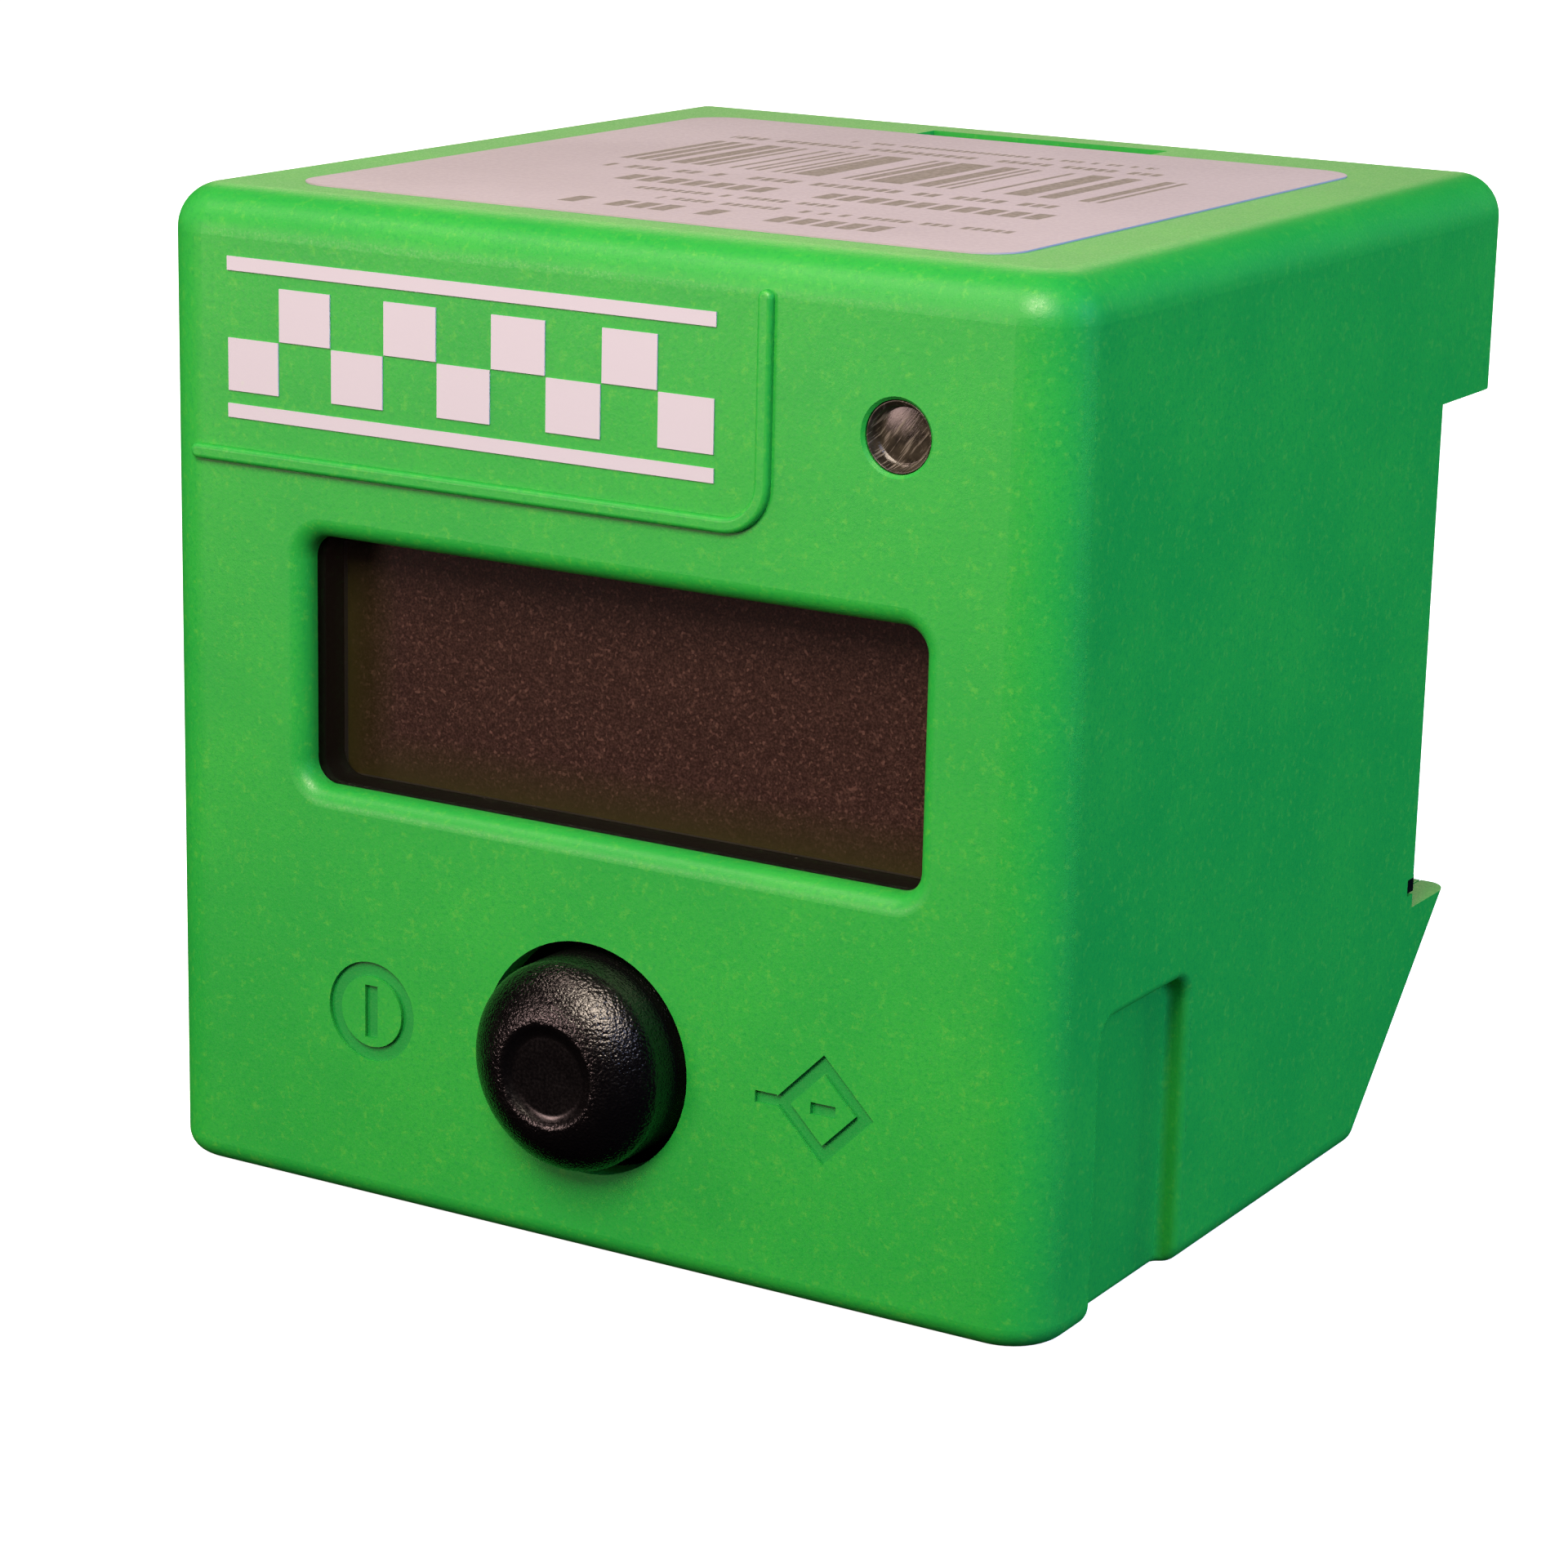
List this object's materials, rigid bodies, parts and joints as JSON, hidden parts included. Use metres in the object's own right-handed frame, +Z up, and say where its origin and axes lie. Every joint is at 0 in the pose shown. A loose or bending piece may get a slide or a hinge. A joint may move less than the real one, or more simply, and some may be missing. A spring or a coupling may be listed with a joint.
{
  "type": "taxi meter",
  "caption": "Cube-shaped rail-mounted fare meter head with a recessed display, one sprung push button, a status light, and a sprung latch for a 35 mm rail.",
  "frame": {"origin": "centre of the overall bounding box in X and Y, at the level of the bottom face", "axes": "+X to the right seen from the front, +Y to the rear (rail side), +Z up; the display and the button face -Y"},
  "size_m": [0.067, 0.0705, 0.0661],
  "materials": {
    "black_plastic": "satin",
    "black_rubber": "matt",
    "board_laminate": "solder mask over glass laminate",
    "button_black": "fine grain, satin to gloss",
    "capacitor_sleeve": "sleeved can",
    "cell_steel": "polished",
    "chip_epoxy": "moulded epoxy",
    "clear_plastic": "polished, lightly scratched",
    "dark_foam": "closed-cell foam",
    "diffuser_acrylic": "frosted",
    "fuse_glass": "glass with plated caps",
    "gold_pins": "gold flash",
    "green_abs": "fine spark-eroded grain",
    "green_acetal": "satin",
    "label_film": "satin film",
    "lcd_glass": "anti-glare film",
    "lcd_rear_glass": "polished",
    "led_epoxy": "tinted",
    "natural_nylon": "satin",
    "plated_brass": "nickel plated",
    "red_plastic": "satin",
    "screw_steel": "zinc plated",
    "smoked_pane": "smoked and polished",
    "socket_plastic": "satin",
    "spring_steel": "drawn wire",
    "tinned_steel": "tinned",
    "white_plastic": "satin",
    "white_print": "pad print",
    "zebra_rubber": "layered"
  },
  "bodies": {
    "body": {"backlight_diffuser": "diffuser_acrylic", "backlight_tray": "white_plastic", "backup_battery": "cell_steel", "battery_holder": "black_plastic", "board_header": "black_plastic", "board_screws": "screw_steel", "board_socket": "black_plastic", "board_standoffs": "plated_brass", "button_guide": "natural_nylon", "button_spring": "spring_steel", "buzzer": "black_plastic", "capacitors": "capacitor_sleeve", "cover_screws": "screw_steel", "crystal": "tinned_steel", "display_board": "board_laminate", "display_window": "smoked_pane", "front_mark": "white_print", "fuse": "fuse_glass", "latch_springs": "spring_steel", "lcd_bezel": "tinned_steel", "lcd_glass_front": "lcd_glass", "lcd_glass_rear": "lcd_rear_glass", "light_pipe": "clear_plastic", "main_board": "board_laminate", "main_housing": "green_abs", "microcontroller": "chip_epoxy", "power_socket": "socket_plastic", "rail_pad": "black_rubber", "rear_cover": "green_abs", "socket_pins": "gold_pins", "status_led": "led_epoxy", "switch_body": "black_plastic", "top_label": "label_film", "voltage_regulator": "chip_epoxy", "window_gasket": "dark_foam", "zebra_strips": "zebra_rubber"},
    "button": {"button_cap": "button_black"},
    "switch_plunger": {"switch_plunger": "red_plastic"},
    "latch": {"rail_latch": "green_acetal"}
  },
  "joints": [
    {"name": "button_press", "type": "slide", "parent": "body", "child": "button", "axis": [0, 1, 0], "range_m": [0, 0.0012], "stiffness_N_per_m": 900, "springref_m": -0.0008, "deforming": ["button_spring"]},
    {"name": "switch_press", "type": "slide", "parent": "body", "child": "switch_plunger", "axis": [0, 1, 0], "range_m": [0, 0.0012]},
    {"name": "latch_release", "type": "slide", "parent": "body", "child": "latch", "axis": [0, 0, 1], "range_m": [0, 0.0022], "stiffness_N_per_m": 2000, "springref_m": -0.002, "deforming": ["latch_springs"]}
  ],
  "couplings": [
    {"joint": "switch_press", "follows": "button_press", "ratio": 1}
  ]
}
